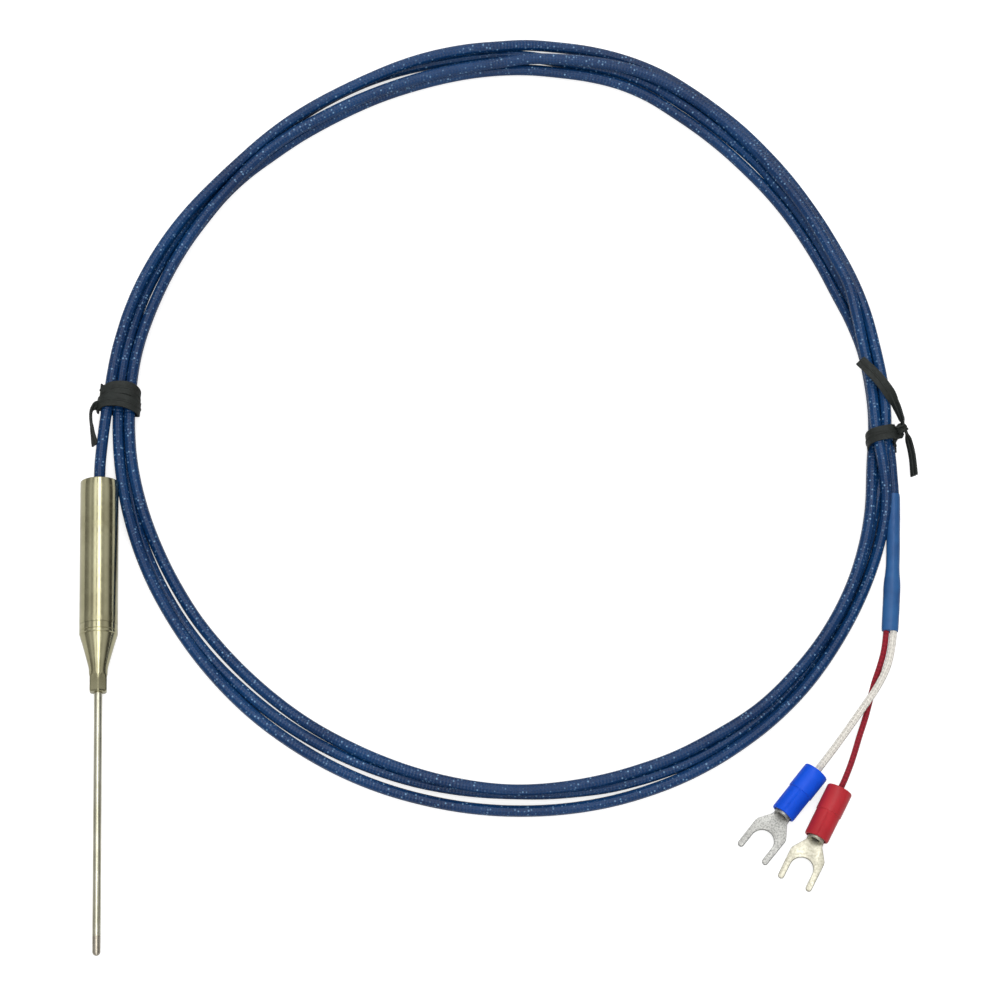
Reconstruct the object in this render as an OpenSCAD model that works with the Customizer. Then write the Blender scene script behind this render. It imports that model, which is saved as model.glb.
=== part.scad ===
// Needle thermocouple with a coiled, braided cable and two insulated fork terminals.
// The probe lies along Y with its tip towards -Y, and everything rests on z = 0.
// The origin is under the middle of the probe.

/* [Sheath] */
// Outside diameter of the sheath
sheath_d = 1.5; // [1.4:0.05:1.6]
// Wall of the sheath
sheath_wall = 0.2; // [0.15:0.05:0.2]
// Length of the sheath that stands out of the sleeve, tip included
sheath_l = 48.5; // [30:0.5:150]
// Length of the welded tip
tip_l = 3.5; // [3:0.5:6]
// Diameter of each thermo-wire inside the sheath
thermo_wire_d = 0.26; // [0.2:0.02:0.3]

/* [Sleeve] */
// Outside diameter of the transition sleeve
barrel_d = 7; // [6.6:0.1:7]
// Wall of the transition sleeve
barrel_wall = 0.5; // [0.4:0.05:0.6]
// Length of the straight part of the sleeve
barrel_l = 28; // [27:0.5:40]
// Length of the tapered part of the nose
taper_l = 6.5; // [5:0.5:8]
// Diameter of the nose's neck
neck_d = 3.4; // [3:0.1:3.8]
// Length of the nose's neck
neck_l = 5.5; // [4.5:0.5:7]
// Length of the hexagonal crimp at the end of the neck
crimp_l = 3.2; // [2.5:0.1:4]
// Width over the flats of the crimp
crimp_flats = 3.1; // [2.8:0.05:3.3]

/* [Cable] */
// Diameter of the braided cable
cable_d = 2.1; // [2:0.05:2.1]
// Diameter of the insulated cores inside the cable
core_d = 0.9; // [0.8:0.05:0.9]
// Outside diameter of the heat-shrink tube
shrink_d = 2.7; // [2.6:0.05:2.8]

/* [Coil] */
// Half width of the coil over the outermost turn, along X
coil_outer_x = 71; // [68:0.5:71]
// Half length of the coil over the outermost turn, along Y
coil_outer_y = 75.3; // [74:0.1:76]
// Width of the bundle of turns
coil_w = 4.8; // [4.2:0.1:5]
// Height of the bundle of turns
coil_h = 4.3; // [4.2:0.1:4.5]

/* [Leads] */
// Diameter of the white lead
white_d = 1.3; // [1.1:0.05:1.3]
// Diameter of the red lead
red_d = 1.1; // [1:0.05:1.1]
// Diameter of the stripped conductor in each terminal
conductor_d = 1.2; // [0.8:0.1:1.4]

/* [Fork terminals] */
// Length of the terminal's insulator
insulator_l = 10; // [9:0.5:12]
// Outside diameter of the terminal's insulator
insulator_d = 4.8; // [4.2:0.1:4.8]
// Outside diameter of the fork's crimp barrel
fork_barrel_d = 3.2; // [2.8:0.1:3.4]
// Bore of the fork's crimp barrel
fork_bore_d = 1.7; // [1.5:0.1:1.9]
// Width over the tines
fork_w = 6.6; // [6.4:0.1:6.8]
// Width of the slot, for the terminal screw
slot_w = 4.3; // [3.7:0.1:4.3]
// Sheet thickness of the fork
fork_t = 0.8; // [0.6:0.1:0.8]
// Length of the fork in front of the insulator
tongue_l = 9.5; // [9:0.5:11]

/* [Ties] */
// Width of the ties' ribbon
ribbon_w = 2.2; // [1.8:0.1:2.6]
// Thickness of the ties' ribbon
ribbon_t = 0.5; // [0.45:0.05:0.6]
// Diameter of the steel wire inside the ribbon
tie_wire_d = 0.26; // [0.2:0.02:0.28]

/* [Hidden] */

fine = 96;
small = 48;

// Heights along the probe, measured on Y
probe_l = sheath_l + neck_l + taper_l + barrel_l;
tip_y = -probe_l / 2;
nose_y = tip_y + sheath_l;
neck_y = nose_y + neck_l;
taper_y = neck_y + taper_l;
mouth_y = taper_y + barrel_l;
axis_z = barrel_d / 2;

// Nose: a short land at the full diameter, and a spigot inside the barrel
land_l = 0.6;
groove = 0.08;
spigot_l = 3;
spigot_wall = 0.5;
barrel_bore_d = barrel_d - 2 * barrel_wall;
nose_bore_d = barrel_bore_d - 2 * spigot_wall;
joint_y = taper_y + land_l;
spigot_y = joint_y + spigot_l;

// The sheath tapers a little towards its weld, and towards its end inside the nose
drawn_d = sheath_d - 0.05;

// Inside of the sheath
tip_wall = 1.2;
bore_d = sheath_d - 2 * sheath_wall;
bead_d = 0.9;
bead_l = 0.5;
bead_y = tip_y + tip_wall;
sheath_end_y = neck_y + 2;
seal_l = 1;
wire_gap = 0.25;

// Splices inside the sleeve
ferrule_d = 1.2;
ferrule_bore_d = 0.6;
ferrule_l = 5;
ferrule_y = spigot_y + 1.5;
ferrule_x = 1.25;
insulation_d = 1.9;
insulation_over = 1;
core_gap = 0.5;
bush_l = 5;
bush_recess = 0.6;
bush_y = mouth_y - bush_recess - bush_l;
jacket_y = bush_y - 1;
core_turn = 2;
bare_core_d = 0.5;

// Coil: an oval ring of the cable's turns
coil_center = [74.6, 55.4, 0];
coil_z = 0.55;
corner_r = cable_d / 2;

// Routes of the free stretches of cable and lead
lead_in_route = [
    [0, jacket_y, axis_z], [0, mouth_y - 2, axis_z], [0, mouth_y + 1, axis_z], [0.1, 48, 3.6],
    [0.5, 52, 3.8], [1.0, 56, 4.0], [1.6, 60, 4.0], [2.6, 65, 3.7], [4.2, 70, 3.2], [6.2, 74, 2.7]
];
tail_route = [
    [144.4, 48, 2.1], [144.9, 44, 1.9], [145.2, 40, 1.7], [145.1, 36, 1.5], [144.9, 32, 1.4],
    [144.7, 28, 1.4], [144.4, 24, 1.4]
];
shrink_route = [
    [145.2, 39.5, 1.7], [145.1, 36, 1.5], [144.9, 32, 1.4], [144.7, 28, 1.4], [144.4, 24, 1.4],
    [144.0, 19, 1.4], [143.5, 13.5, 1.4]
];
white_route = [
    [145.0, 24.2, 1.4], [144.65, 19, 1.4], [144.15, 13.5, 1.4], [143.6, 10, 1.6], [142.8, 7, 1.9],
    [141.5, 4.2, 2.1], [139.8, 1.5, 2.1], [137.4, -1.8, 2.1], [135.0, -5.1, 2.1], [132.4, -8.6, 2.3],
    [130.2, -11.4, 2.4], [128.4, -13.7, 2.4], [126.6, -15.96, 2.4]
];
red_route = [
    [143.8, 24.2, 1.4], [143.4, 19, 1.4], [142.85, 13.5, 1.2], [142.3, 10, 0.9], [141.4, 7, 0.7],
    [140.3, 4, 0.6], [139.4, 0.8, 0.6], [138.4, -2.6, 0.7], [137.2, -6, 1.1], [135.7, -10.5, 1.8],
    [134.2, -14.2, 2.3], [132.8, -16.97, 2.4], [131.21, -20.01, 2.4]
];

// Fork terminals: where the lead enters, and the way each points
blue_at = [129.1, -12.8, 2.4];
blue_turn = 231.4;
red_at = [133.2, -16.2, 2.4];
red_turn = 242.4;
entry_l = 4.4;
entry_bore_d = 2.2;
fork_bottom = -fork_barrel_d / 2;
fork_shoulder = insulator_l + 3.1;
fork_arch = insulator_l + 6;
fork_tip = insulator_l + tongue_l;
tine_w = (fork_w - slot_w) / 2;
neck_w = 3.2;

// Ties: middle of each band, its clear opening, and the way the bundle runs through it
left_tie_at = [4.3, 60, 2.9];
left_open = [8.6, 4.8];
left_turn = -6;
right_tie_at = [142.9, 49.5, 2.9];
right_open = [5.6, 4.8];
right_turn = 6;
band_r = 1.4;
left_tail = [[-0.2, 60.4], [-1.6, 59.4], [-1.8, 57.6], [-0.9, 51.4]];
left_tail_z = 3.4;
right_upper_tail = [[146.9, 52.2], [145.6, 57.6], [139.9, 64.2]];
right_upper_z = 5.0;
right_lower_tail = [[147.3, 50.8], [148.6, 47.6], [149.0, 42.6]];
right_lower_z = 1.9;
knot_at = [147.0, 51.3, 4.4];
knot_d = 2.6;

// Turns a shape of revolution so that its own Z runs along the probe
module along_probe() {
    translate([0, 0, axis_z])
        rotate([-90, 0, 0])
            children();
}

// A round bar along the probe, from one height on Y to another
module bar(from_y, to_y, d, x = 0) {
    along_probe()
        translate([x, 0, from_y])
            cylinder(h = to_y - from_y, d = d, $fn = small);
}

function unit(v) = v / norm(v);

// Direction of a route at one of its points
function heading(route, i) = unit(route[min(i + 1, len(route) - 1)] - route[max(i - 1, 0)]);

// One ring of points square to the route
function cord_ring(center, way, r, sides) =
    let (side = unit(cross([0, 0, 1], way)), up = cross(way, side))
    [for (k = [0 : sides - 1]) center + r * (cos(360 * k / sides) * side + sin(360 * k / sides) * up)];

// A round cord swept along a route
module cord(route, d, sides = 8) {
    last = len(route) - 1;
    points = [for (i = [0 : last]) each cord_ring(route[i], heading(route, i), d / 2, sides)];
    start_face = [for (k = [0 : sides - 1]) k];
    end_face = [for (k = [sides - 1 : -1 : 0]) last * sides + k];
    side_faces = [
        for (i = [0 : last - 1])
            for (k = [0 : sides - 1])
                let (a = i * sides + k, b = i * sides + (k + 1) % sides)
                [a, a + sides, b + sides, b]
    ];
    polyhedron(points = points, faces = concat([start_face], side_faces, [end_face]));
}

// A rectangle with round corners, centred
module round_rect(w, h, r) {
    square([w - 2 * r, h], center = true);
    square([w, h - 2 * r], center = true);
    for (x = [-1, 1])
        for (y = [-1, 1])
            translate([x * (w / 2 - r), y * (h / 2 - r)])
                circle(r = r, $fn = small);
}

// A flat strip with round joints along a plan of points
module strip(plan, w) {
    for (i = [1 : len(plan) - 1]) {
        way = plan[i] - plan[i - 1];
        translate(plan[i - 1])
            rotate(atan2(way.y, way.x))
                translate([0, -w / 2])
                    square([norm(way), w]);
    }
    for (i = [1 : len(plan) - 2])
        translate(plan[i])
            circle(d = w, $fn = small);
}

// Sheath and what it holds

module sheath_tube() {
    color("silver")
        along_probe()
            difference() {
                union() {
                    translate([0, 0, tip_y + tip_l])
                        cylinder(h = nose_y - tip_y - tip_l, d = sheath_d, $fn = small);
                    translate([0, 0, nose_y])
                        cylinder(h = sheath_end_y - nose_y, d1 = sheath_d, d2 = drawn_d, $fn = small);
                }
                translate([0, 0, tip_y + tip_l - 1])
                    cylinder(h = sheath_end_y - tip_y - tip_l + 2, d = bore_d, $fn = small);
            }
}

module sheath_tip() {
    dome = drawn_d / 2;
    color("gray")
        along_probe()
            translate([0, 0, tip_y])
                difference() {
                    union() {
                        translate([0, 0, dome])
                            cylinder(h = tip_l - dome, d1 = drawn_d, d2 = sheath_d, $fn = small);
                        translate([0, 0, dome])
                            sphere(r = dome, $fn = small);
                    }
                    translate([0, 0, tip_wall])
                        cylinder(h = tip_l, d = bore_d, $fn = small);
                }
}

module mineral_packing() {
    color("white")
        difference() {
            bar(bead_y + bead_l, sheath_end_y - seal_l, bore_d);
            for (x = [-wire_gap, wire_gap])
                bar(bead_y, sheath_end_y, thermo_wire_d, x);
        }
}

// Route of a thermo-wire: straight through the sheath, then spread out to its ferrule
function thermo_route(side) = [
    [side * wire_gap, bead_y + bead_l, axis_z],
    [side * wire_gap, sheath_end_y + 1, axis_z],
    [side * ferrule_x, ferrule_y - 1.5, axis_z],
    [side * ferrule_x, ferrule_y + ferrule_l / 2 - 0.5, axis_z]
];

module thermo_wire_positive() {
    color("khaki")
        cord(thermo_route(1), thermo_wire_d);
}

module thermo_wire_negative() {
    color("lightgray")
        cord(thermo_route(-1), thermo_wire_d);
}

module hot_junction() {
    color("dimgray")
        bar(bead_y, bead_y + bead_l, bead_d);
}

module sheath_seal() {
    color("black")
        difference() {
            bar(sheath_end_y - seal_l, sheath_end_y, bore_d);
            for (x = [-wire_gap, wire_gap])
                bar(sheath_end_y - 2 * seal_l, sheath_end_y + seal_l, thermo_wire_d, x);
        }
}

// Transition sleeve

module sleeve_barrel() {
    outer = barrel_d / 2;
    inner = barrel_bore_d / 2;
    lip = 0.2;
    color("darkkhaki")
        along_probe()
            rotate_extrude($fn = fine)
                polygon([
                    [inner, joint_y], [outer - groove, joint_y], [outer, joint_y + groove],
                    [outer, mouth_y - lip], [outer - lip / 3, mouth_y - lip / 3], [outer - lip, mouth_y],
                    [inner, mouth_y]
                ]);
}

module sleeve_nose() {
    outer = barrel_d / 2;
    neck = neck_d / 2;
    bore = sheath_d / 2;
    end_bore = drawn_d / 2;
    wall = spigot_wall;
    color("darkkhaki")
        difference() {
            along_probe()
                rotate_extrude($fn = fine)
                    polygon([
                        [bore, nose_y], [neck - 0.2, nose_y], [neck, nose_y + 0.3], [neck, neck_y],
                        [neck + 0.25, neck_y + 1], [outer, taper_y], [outer, joint_y - groove],
                        [outer - groove, joint_y], [barrel_bore_d / 2, joint_y],
                        [barrel_bore_d / 2, spigot_y], [nose_bore_d / 2, spigot_y],
                        [nose_bore_d / 2, taper_y], [end_bore + wall, neck_y + 2.5],
                        [end_bore, sheath_end_y]
                    ]);
            along_probe()
                translate([0, 0, nose_y - 1])
                    difference() {
                        cylinder(h = crimp_l + 1, d = neck_d + 2, $fn = small);
                        translate([0, 0, -1])
                            cylinder(h = crimp_l + 3, r = crimp_flats / sqrt(3), $fn = 6);
                    }
        }
}

// Splices between the thermo-wires and the cable's cores

module splice_ferrules() {
    color("tan")
        for (x = [-ferrule_x, ferrule_x])
            along_probe()
                translate([x, 0, ferrule_y])
                    difference() {
                        cylinder(h = ferrule_l, d = ferrule_d, $fn = small);
                        translate([0, 0, -1])
                            cylinder(h = ferrule_l + 2, d = ferrule_bore_d, $fn = small);
                    }
}

module splice_sleeves() {
    color("ivory")
        for (x = [-ferrule_x, ferrule_x])
            along_probe()
                translate([x, 0, ferrule_y - insulation_over])
                    difference() {
                        cylinder(h = ferrule_l + 2 * insulation_over, d = insulation_d, $fn = small);
                        translate([0, 0, -1])
                            cylinder(h = ferrule_l + 2 * insulation_over + 2, d = ferrule_d, $fn = small);
                    }
}

// Route of a core of the cable, from its ferrule up to the jacket
function core_route(side) = [
    [side * ferrule_x, ferrule_y + ferrule_l, axis_z],
    [side * ferrule_x, ferrule_y + ferrule_l + core_turn, axis_z],
    [side * core_gap, jacket_y - core_turn, axis_z],
    [side * core_gap, jacket_y, axis_z]
];

// A core of the cable: bare in its ferrule, then insulated up to the jacket
module cable_core(side) {
    bar(ferrule_y + ferrule_l / 2 + 0.5, ferrule_y + ferrule_l, bare_core_d, side * ferrule_x);
    cord(core_route(side), core_d);
}

module cable_core_positive() {
    color("firebrick")
        cable_core(1);
}

module cable_core_negative() {
    color("whitesmoke")
        cable_core(-1);
}

module potting() {
    color("sienna")
        difference() {
            along_probe()
                cylinder(h = bush_y, d = barrel_bore_d, $fn = fine);
            translate([-barrel_d, 0, 0])
                cube([2 * barrel_d, spigot_y, barrel_d]);
            splice_sleeves();
            bar(ferrule_y - insulation_over, ferrule_y + ferrule_l + insulation_over, ferrule_d, ferrule_x);
            bar(ferrule_y - insulation_over, ferrule_y + ferrule_l + insulation_over, ferrule_d, -ferrule_x);
            for (side = [-1, 1]) {
                cord(thermo_route(side), thermo_wire_d);
                cord(core_route(side), core_d);
            }
            bar(jacket_y, mouth_y, cable_d);
        }
}

module cable_bush() {
    color("black")
        difference() {
            bar(bush_y, bush_y + bush_l, barrel_bore_d);
            bar(bush_y - 1, bush_y + bush_l + 1, cable_d);
        }
}

// Cable, leads and shrink tube

module cable_lead_in() {
    color("royalblue")
        cord(lead_in_route, cable_d);
}

module coil_section() {
    translate([coil_outer_x - coil_w / 2, coil_z + coil_h / 2])
        round_rect(coil_w, coil_h, corner_r);
}

// An oval ring: two half rings, and a short straight run between them on each side
module cable_coil() {
    run = 2 * (coil_outer_y - coil_outer_x);
    color("royalblue")
        translate(coil_center)
            for (end = [0, 180])
                rotate([0, 0, end]) {
                    translate([0, run / 2, 0])
                        rotate_extrude(angle = 180, $fn = fine)
                            coil_section();
                    translate([0, run / 2, 0])
                        rotate([90, 0, 0])
                            linear_extrude(height = run)
                                coil_section();
                }
}

module cable_tail() {
    color("royalblue")
        cord(tail_route, cable_d);
}

module shrink_tube() {
    color("steelblue")
        difference() {
            cord(shrink_route, shrink_d);
            cord(tail_route, cable_d);
            cord(white_route, white_d);
            cord(red_route, red_d);
        }
}

module white_lead() {
    color("gainsboro")
        cord(white_route, white_d);
}

module red_lead() {
    color("crimson")
        cord(red_route, red_d);
}

// Fork terminals, drawn along X from the lead's entry

module placed(at, turn) {
    translate(at)
        rotate([0, 0, turn])
            children();
}

module along_x(from_x, to_x, d) {
    translate([from_x, 0, 0])
        rotate([0, 90, 0])
            cylinder(h = to_x - from_x, d = d, $fn = small);
}

module insulator() {
    difference() {
        along_x(0, insulator_l, insulator_d);
        along_x(-1, insulator_l + 1, entry_bore_d);
        along_x(entry_l, insulator_l + 1, fork_barrel_d);
    }
}

module fork() {
    tine_y = fork_w / 2 - tine_w / 2;
    difference() {
        along_x(entry_l, insulator_l, fork_barrel_d);
        along_x(entry_l - 1, insulator_l + 1, fork_bore_d);
    }
    translate([0, 0, fork_bottom])
        linear_extrude(height = fork_t)
            difference() {
                union() {
                    polygon([
                        [insulator_l, -neck_w / 2], [insulator_l + 0.8, -neck_w / 2],
                        [fork_shoulder, -fork_w / 2], [fork_tip - tine_w / 2, -fork_w / 2],
                        [fork_tip - tine_w / 2, fork_w / 2], [fork_shoulder, fork_w / 2],
                        [insulator_l + 0.8, neck_w / 2], [insulator_l, neck_w / 2]
                    ]);
                    for (y = [-tine_y, tine_y])
                        translate([fork_tip - tine_w / 2, y])
                            circle(d = tine_w, $fn = small);
                }
                translate([fork_arch, 0])
                    circle(d = slot_w, $fn = fine);
                translate([fork_arch, -slot_w / 2])
                    square([tongue_l, slot_w]);
            }
}

module wire_end() {
    along_x(entry_l - 0.1, insulator_l - 0.6, conductor_d);
}

module blue_insulator() {
    color("dodgerblue")
        placed(blue_at, blue_turn)
            insulator();
}

module blue_fork() {
    color("silver")
        placed(blue_at, blue_turn)
            fork();
}

module blue_wire_end() {
    color("darkgray")
        placed(blue_at, blue_turn)
            wire_end();
}

module red_insulator() {
    color("indianred")
        placed(red_at, red_turn)
            insulator();
}

module red_fork() {
    color("lightsteelblue")
        placed(red_at, red_turn)
            fork();
}

module red_wire_end() {
    color("darkgray")
        placed(red_at, red_turn)
            wire_end();
}

// Ties: a band round the bundle, and tails of the same ribbon

module band(at, turn, open) {
    translate(at)
        rotate([0, 0, turn])
            rotate([90, 0, 0])
                linear_extrude(height = ribbon_w, center = true)
                    difference() {
                        round_rect(open.x + 2 * ribbon_t, open.y + 2 * ribbon_t, band_r + ribbon_t);
                        round_rect(open.x, open.y, band_r);
                    }
}

// The wire inside a band, half way through the ribbon's thickness, open on the knot's side
module band_wire(at, turn, open) {
    r = band_r + ribbon_t / 2;
    x = (open.x + ribbon_t) / 2 - r;
    y = (open.y + ribbon_t) / 2 - r;
    route = [
        for (corner = [0 : 3])
            for (step = [0 : 30 : 90])
                let (
                    a = 90 * corner + step,
                    corner_x = corner == 0 || corner == 3 ? x : -x,
                    corner_y = corner < 2 ? y : -y
                )
                [corner_x + r * cos(a), corner_y + r * sin(a), 0]
    ];
    translate(at)
        rotate([0, 0, turn])
            rotate([90, 0, 0])
                cord(route, tie_wire_d);
}

module upright_tail(plan, z) {
    translate([0, 0, z])
        linear_extrude(height = ribbon_w)
            strip(plan, ribbon_t);
}

module flat_tail(plan, z) {
    translate([0, 0, z])
        linear_extrude(height = ribbon_t)
            strip(plan, ribbon_w);
}

module left_tie_wire() {
    color("silver")
        band_wire(left_tie_at, left_turn + 180, left_open);
}

module left_tie_ribbon() {
    color("dimgray")
        difference() {
            union() {
                band(left_tie_at, left_turn, left_open);
                upright_tail(left_tail, left_tail_z);
            }
            band_wire(left_tie_at, left_turn + 180, left_open);
        }
}

module right_tie_wire() {
    color("silver")
        band_wire(right_tie_at, right_turn, right_open);
}

module right_tie_ribbon() {
    color("dimgray")
        difference() {
            union() {
                band(right_tie_at, right_turn, right_open);
                translate(knot_at)
                    sphere(d = knot_d, $fn = small);
                flat_tail(right_upper_tail, right_upper_z);
                upright_tail(right_lower_tail, right_lower_z);
            }
            band_wire(right_tie_at, right_turn, right_open);
        }
}

sheath_tube();
sheath_tip();
mineral_packing();
thermo_wire_positive();
thermo_wire_negative();
hot_junction();
sheath_seal();
sleeve_barrel();
sleeve_nose();
splice_ferrules();
splice_sleeves();
potting();
cable_bush();
cable_core_positive();
cable_core_negative();
cable_lead_in();
cable_coil();
cable_tail();
shrink_tube();
white_lead();
red_lead();
blue_insulator();
blue_fork();
blue_wire_end();
red_insulator();
red_fork();
red_wire_end();
left_tie_ribbon();
left_tie_wire();
right_tie_ribbon();
right_tie_wire();
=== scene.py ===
"""Needle thermocouple with a coiled lead and two fork terminals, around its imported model."""

import logging
import math
from dataclasses import dataclass, field
from enum import Enum
from typing import Callable, Sequence

import bpy
from mathutils import Matrix, Vector

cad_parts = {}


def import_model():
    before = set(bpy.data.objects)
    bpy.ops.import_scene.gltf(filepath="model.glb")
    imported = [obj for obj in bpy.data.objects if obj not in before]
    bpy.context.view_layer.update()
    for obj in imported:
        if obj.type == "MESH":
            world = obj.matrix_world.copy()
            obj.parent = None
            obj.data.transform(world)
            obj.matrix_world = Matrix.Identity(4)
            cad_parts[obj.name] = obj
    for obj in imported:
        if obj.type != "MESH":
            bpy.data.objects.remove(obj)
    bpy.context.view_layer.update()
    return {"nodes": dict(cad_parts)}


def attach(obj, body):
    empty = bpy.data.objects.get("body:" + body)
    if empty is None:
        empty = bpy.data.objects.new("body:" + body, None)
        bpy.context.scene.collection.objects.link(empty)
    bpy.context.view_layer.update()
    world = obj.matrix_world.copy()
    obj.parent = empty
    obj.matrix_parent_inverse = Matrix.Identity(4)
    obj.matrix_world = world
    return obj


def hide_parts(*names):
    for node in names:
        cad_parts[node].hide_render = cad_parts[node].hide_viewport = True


LOG = logging.getLogger("thermocouple")
MM = 0.001
BODY = "root"
LEAD_STEP = 0.0005
SHRINK_STEP = 0.0004
UP = Vector((0, 0, 1))

Color = tuple[float, float, float]
Point = tuple[float, float, float]


def paint(red: int, green: int, blue: int) -> Color:
    """Turns a colour written as 0 to 255 into the linear values that the shaders take.

    Args:
        red: The red part.
        green: The green part.
        blue: The blue part.

    Returns:
        The three linear parts.
    """

    def linear(part: int) -> float:
        """Gives one part in linear light."""
        value = part / 255
        return value / 12.92 if value <= 0.04045 else ((value + 0.055) / 1.055) ** 2.4

    return linear(red), linear(green), linear(blue)


TIE_BLACK = paint(36, 40, 38)
TIE_BLACK_SHADE = paint(28, 31, 29)


# Geometry helpers


def metres(points: Sequence[Point]) -> list[Vector]:
    """Gives points written in millimetres as vectors in metres."""
    return [Vector(point) * MM for point in points]


def smooth_route(points: Sequence[Vector], step: float) -> list[Vector]:
    """Draws one smooth curve through points and walks along it in even steps.

    Args:
        points: The points that the curve passes, in order.
        step: The distance from one point of the result to the next.

    Returns:
        Evenly spaced points of the curve, both ends included.
    """
    ends = [2 * points[0] - points[1], *points, 2 * points[-1] - points[-2]]
    fine: list[Vector] = []
    parts = 12
    for a, b, c, d in zip(ends, ends[1:], ends[2:], ends[3:]):
        for i in range(parts):
            t = i / parts
            fine.append(
                0.5
                * (
                    2 * b
                    + (c - a) * t
                    + (2 * a - 5 * b + 4 * c - d) * t * t
                    + (3 * b - a - 3 * c + d) * t * t * t
                )
            )
    fine.append(points[-1].copy())
    walked = [0.0]
    for a, b in zip(fine, fine[1:]):
        walked.append(walked[-1] + (b - a).length)
    count = max(2, round(walked[-1] / step))
    even: list[Vector] = []
    at = 0
    for i in range(count + 1):
        goal = walked[-1] * i / count
        while at < len(walked) - 2 and walked[at + 1] < goal:
            at += 1
        span = max(walked[at + 1] - walked[at], 1e-12)
        even.append(fine[at].lerp(fine[at + 1], (goal - walked[at]) / span))
    return even


def route_length(points: Sequence[Vector]) -> float:
    """Gives the length of a line through points."""
    return sum((b - a).length for a, b in zip(points, points[1:]))


def between(knots: Sequence[tuple[float, float]], at: float) -> float:
    """Reads a value between knots that go down in angle, with a smooth curve through them.

    Args:
        knots: Pairs of angle and value, the highest angle first.
        at: The angle to read at.

    Returns:
        The value there.
    """
    if at >= knots[0][0]:
        return knots[0][1]
    for i, (a, b) in enumerate(zip(knots, knots[1:])):
        if at >= b[0]:
            before = knots[i - 1] if i else a
            after = knots[i + 2] if i + 2 < len(knots) else b
            span = a[0] - b[0]
            t = (a[0] - at) / span
            rise_a = (b[1] - before[1]) / max(before[0] - b[0], 1e-6) * span
            rise_b = (after[1] - a[1]) / max(a[0] - after[0], 1e-6) * span
            return (
                (2 * t**3 - 3 * t**2 + 1) * a[1]
                + (t**3 - 2 * t**2 + t) * rise_a
                + (3 * t**2 - 2 * t**3) * b[1]
                + (t**3 - t**2) * rise_b
            )
    return knots[-1][1]


def deselect() -> None:
    """Leaves object mode with nothing selected."""
    if bpy.context.object and bpy.context.object.mode != "OBJECT":
        bpy.ops.object.mode_set(mode="OBJECT")
    bpy.ops.object.select_all(action="DESELECT")


def pick(piece: bpy.types.Object) -> None:
    """Selects one piece alone and makes it the active one."""
    deselect()
    piece.select_set(True)
    bpy.context.view_layer.objects.active = piece


def outward(piece: bpy.types.Object) -> None:
    """Merges a piece's doubled points and turns its faces outwards."""
    pick(piece)
    bpy.ops.object.mode_set(mode="EDIT")
    bpy.ops.mesh.select_all(action="SELECT")
    bpy.ops.mesh.remove_doubles(threshold=1e-6)
    bpy.ops.mesh.normals_make_consistent(inside=False)
    bpy.ops.object.mode_set(mode="OBJECT")


def soften(piece: bpy.types.Object, angle: float = 35) -> None:
    """Shades a piece smooth except at edges sharper than an angle in degrees."""
    pick(piece)
    bpy.ops.object.shade_smooth_by_angle(angle=math.radians(angle))


def place(piece: bpy.types.Object, matrix: Matrix) -> None:
    """Moves a piece's mesh to its place and leaves its object at the origin."""
    piece.data.transform(matrix @ piece.matrix_world)
    piece.matrix_world = Matrix.Identity(4)


def join(pieces: Sequence[bpy.types.Object], name: str) -> bpy.types.Object:
    """Joins pieces into the first one.

    Args:
        pieces: The pieces to join.
        name: The name of the result.

    Returns:
        The joined piece.
    """
    pick(pieces[0])
    for piece in pieces[1:]:
        piece.select_set(True)
    bpy.ops.object.join()
    pieces[0].name = name
    pieces[0].data.name = name
    return pieces[0]


def turned(name: str, profile: Sequence[tuple[float, float]], sides: int = 64) -> bpy.types.Object:
    """Turns a piece about Z: a ring that is extruded and resized from one row to the next.

    Args:
        name: The piece's name.
        profile: Pairs of radius and height in millimetres; a radius of 0 closes an end.
        sides: How many sides the ring has.

    Returns:
        The piece, with its axis on Z.
    """
    deselect()
    radius, height = profile[0][0] * MM, profile[0][1] * MM
    bpy.ops.mesh.primitive_circle_add(
        vertices=sides, radius=max(radius, 1e-6), location=(0, 0, height)
    )
    piece = bpy.context.object
    piece.name = piece.data.name = name
    bpy.ops.object.transform_apply(location=True, rotation=True, scale=True)
    bpy.ops.object.mode_set(mode="EDIT")
    bpy.ops.mesh.select_all(action="SELECT")
    now, level = max(radius, 1e-6), height
    for next_radius, next_height in profile[1:]:
        target, goal = max(next_radius * MM, 1e-6), next_height * MM
        bpy.ops.mesh.extrude_edges_move(TRANSFORM_OT_translate={"value": (0, 0, goal - level)})
        bpy.ops.transform.resize(
            value=(target / now, target / now, 1), center_override=(0, 0, goal)
        )
        now, level = target, goal
    bpy.ops.object.mode_set(mode="OBJECT")
    outward(piece)
    return piece


def swept(
    name: str,
    centres: Sequence[Vector],
    widths: Sequence[Vector],
    section: Sequence[tuple[float, float]],
) -> bpy.types.Object:
    """Lays a flat section along a route, its width along the direction given at each point.

    Args:
        name: The piece's name.
        centres: The route.
        widths: The direction of the section's width at each point of the route.
        section: The section's corners as (across, through), in metres.

    Returns:
        A closed piece.
    """
    rows: list[Vector] = []
    last = len(centres) - 1
    for i, (centre, width) in enumerate(zip(centres, widths)):
        way = (centres[min(i + 1, last)] - centres[max(i - 1, 0)]).normalized()
        across = (width - width.dot(way) * way).normalized()
        through = way.cross(across)
        rows += [centre + across * s + through * t for s, t in section]
    n = len(section)
    faces = [
        (i * n + j, i * n + (j + 1) % n, (i + 1) * n + (j + 1) % n, (i + 1) * n + j)
        for i in range(last)
        for j in range(n)
    ]
    faces += [tuple(range(n))[::-1], tuple(range(last * n, (last + 1) * n))]
    mesh = bpy.data.meshes.new(name)
    mesh.from_pydata(rows, [], faces)
    piece = bpy.data.objects.new(name, mesh)
    bpy.context.scene.collection.objects.link(piece)
    outward(piece)
    return piece


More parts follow.
